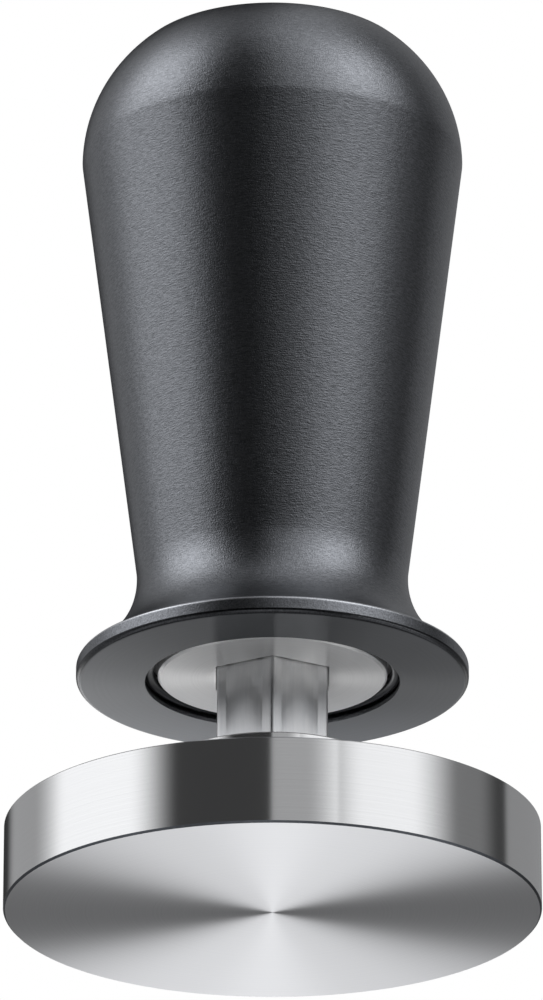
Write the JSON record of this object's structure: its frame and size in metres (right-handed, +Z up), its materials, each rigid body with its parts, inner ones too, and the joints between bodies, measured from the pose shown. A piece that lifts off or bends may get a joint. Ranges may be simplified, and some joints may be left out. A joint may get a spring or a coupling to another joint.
{
  "type": "espresso tamper",
  "caption": "Spring-loaded espresso tamper: black tapered handle sliding on a hexagonal shaft over a polished flat steel base.",
  "frame": {"origin": "centre of the tamping face", "axes": "+Z up along the axis of the handle, a corner of the hexagonal shaft towards -Y"},
  "size_m": [0.058, 0.058, 0.1039],
  "materials": {
    "polished_steel": "turned and polished stainless steel",
    "turned_steel": "turned stainless steel with fine concentric lines",
    "drawn_steel": "bright drawn steel bar",
    "black_anodised_aluminium": "black anodised, satin, finely turned",
    "black_spring_steel": "blackened round wire",
    "spring_steel": "oiled spring steel wire",
    "black_oxide_steel": "black oxide",
    "white_nylon": "natural nylon"
  },
  "bodies": {
    "base_body": {"base": "polished_steel", "base_stud": "black_oxide_steel", "hex_shaft": "drawn_steel", "bumper_washer": "white_nylon", "stop_collar": "turned_steel", "lock_washer": "spring_steel", "collar_screw": "black_oxide_steel", "main_spring": "spring_steel"},
    "handle_body": {"handle": "black_anodised_aluminium", "spring_seat": "turned_steel", "guide_plate": "turned_steel", "snap_ring": "black_spring_steel"}
  },
  "joints": [
    {"name": "handle_press", "type": "slide", "parent": "base_body", "child": "handle_body", "axis": [0, 0, -1], "range_m": [0, 0.01], "stiffness_N_per_m": 4300, "springref_m": -0.021, "deforming": ["main_spring"]}
  ]
}
